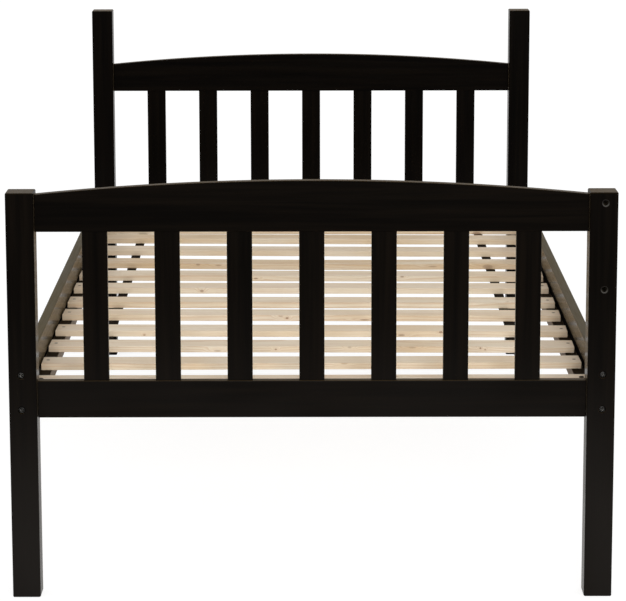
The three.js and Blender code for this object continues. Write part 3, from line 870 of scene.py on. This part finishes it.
def screw_head(head):
    """Vertices and faces of a screw head about the origin, standing on z = 0 and facing +Z"""
    rings = []
    for ring in range(1, HEAD_RINGS + 1):
        share = ring / HEAD_RINGS
        points = []
        for c, s in circle(HEAD_SIDES):
            x, y = head.radius * share * c, head.radius * share * s
            deep = max(arm_depth(x, y, head.radius), arm_depth(y, x, head.radius))
            z = head.height * (1 - head.crown * share ** DOME_POWER) - head.recess * deep
            points.append((x, y, z))
        rings.append(points)
    rings.append([(x, y, -HEAD_SKIRT) for x, y, _ in rings[-1]])
    vertices = [(0, 0, head.height - head.recess)]
    for ring in rings:
        vertices += ring
    faces = [(0, 1 + i, 1 + (i + 1) % HEAD_SIDES) for i in range(HEAD_SIDES)]
    for ring in range(len(rings) - 1):
        for i in range(HEAD_SIDES):
            a = 1 + ring * HEAD_SIDES + i
            b = 1 + ring * HEAD_SIDES + (i + 1) % HEAD_SIDES
            faces.append((a, a + HEAD_SIDES, b + HEAD_SIDES, b))
    last = 1 + (len(rings) - 1) * HEAD_SIDES
    faces.append(tuple(reversed(range(last, last + HEAD_SIDES))))
    return vertices, faces


def heads(name, places, head, finish):
    """One mesh of screw heads; each place has a point, the way it faces and a turn about that"""
    vertices, faces = screw_head(head)
    parts = []
    for point, facing, turn in places:
        spin = Matrix.Rotation(turn, 3, "Z")
        lift = Vector((0, 0, 1)).rotation_difference(Vector(facing)).to_matrix()
        move = lift @ spin
        parts.append(([tuple(move @ Vector(v) + Vector(point)) for v in vertices], faces))
    new_piece(name, mesh_of(name, *joined(parts)), finish)


def slat_screws(side, sign):
    places = []
    for i, name in enumerate(slat_names):
        low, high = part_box(name)
        end = high.x if sign > 0 else low.x
        stray = math.sin(INSET_STRAY_RATE * i + sign) if i else 0.0
        x = end - sign * (SLAT_SCREW_INSET + INSET_STRAY * stray)
        y = slat_y(name, x) + ACROSS_STRAY * math.sin(ACROSS_STRAY_RATE * i + 2 * sign)
        places.append(((x, y, high.z), (0, 0, 1), SCREW_TURN * (i + SIDE_TURNS * sign)))
    # the slat nearest the footboard has larger, darker screws; the others are sunk nearly flush
    heads("end_slat_screw_" + side, places[:1], END_SLAT_SCREW, blued_steel)
    heads("slat_screws_" + side, places[1:], SLAT_SCREW, screw_steel)


def ledger_screws(side, sign):
    low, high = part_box("ledger_" + side)
    face = low.x if sign > 0 else high.x
    z = (low.z + high.z) / 2
    places = []
    for i in range(LEDGER_SCREWS):
        y = low.y + (high.y - low.y) * (i + 0.5) / LEDGER_SCREWS
        places.append(((face, y, z), (-sign, 0, 0), SCREW_TURN * i))
    heads("ledger_screws_" + side, places, LEDGER_SCREW, screw_steel)


for side, sign in (("left", -1), ("right", 1)):
    strap_piece(side)
    slat_screws(side, sign)
    ledger_screws(side, sign)

# Studio: a pale floor, a pale world and one wide soft lamp near the camera
WHITE = (1, 1, 1, 1)
WORLD_LIGHT = 0.71
FLOOR_REACH = 24.0
FLOOR_Z = -0.0003
FLOOR_COLOUR = (0.78, 0.78, 0.78)
FLOOR_SEEN = (0.32, 0.32, 0.32)  # what the camera sees is this with the object's shadow, and the glow
FLOOR_GLOW = 0.80
FLOOR_ROUGHNESS = 0.9
LAMP_PLACE = (0.5, -5.9, 1.65)
LAMP_AIM = (0, 0, 0.4)
LAMP_SIZE = (2.4, 1.2)
LAMP_WATTS = 184


def make_world():
    world = bpy.data.worlds.new("world")
    scene.world = world
    world.use_nodes = True
    g = Graph(world.node_tree)
    background = world.node_tree.nodes["Background"]
    background.inputs["Color"].default_value = WHITE
    strength = g.spread(g.seen_directly(), 0.0, 1.0, WORLD_LIGHT, 1.0, smooth=False)
    g.put(background.inputs["Strength"], strength)


def make_floor():
    mesh = bpy.data.meshes.new("floor")
    corners = [(x * FLOOR_REACH, y * FLOOR_REACH, FLOOR_Z) for x, y in ((-1, -1), (1, -1), (1, 1), (-1, 1))]
    mesh.from_pydata(corners, [], [(0, 1, 2, 3)])
    floor = bpy.data.objects.new("floor", mesh)
    scene.collection.objects.link(floor)
    g = Finish("studio_floor", Roughness=FLOOR_ROUGHNESS, Specular_IOR_Level=0.0, Emission_Color=WHITE)
    seen = g.seen_directly()
    g.set("Base Color", g.mix(seen, FLOOR_COLOUR, FLOOR_SEEN))
    g.set("Emission Strength", g.times(seen, FLOOR_GLOW))
    mesh.materials.append(g.material)


def make_lamp():
    data = bpy.data.lights.new("soft_box_front", "AREA")
    data.shape = "RECTANGLE"
    data.size, data.size_y = LAMP_SIZE
    data.energy = LAMP_WATTS
    lamp = bpy.data.objects.new("soft_box_front", data)
    lamp.location = LAMP_PLACE
    lamp.rotation_euler = (Vector(LAMP_AIM) - Vector(LAMP_PLACE)).to_track_quat("-Z", "Y").to_euler()
    scene.collection.objects.link(lamp)


make_world()
make_floor()
make_lamp()

scene.view_settings.view_transform = "Standard"
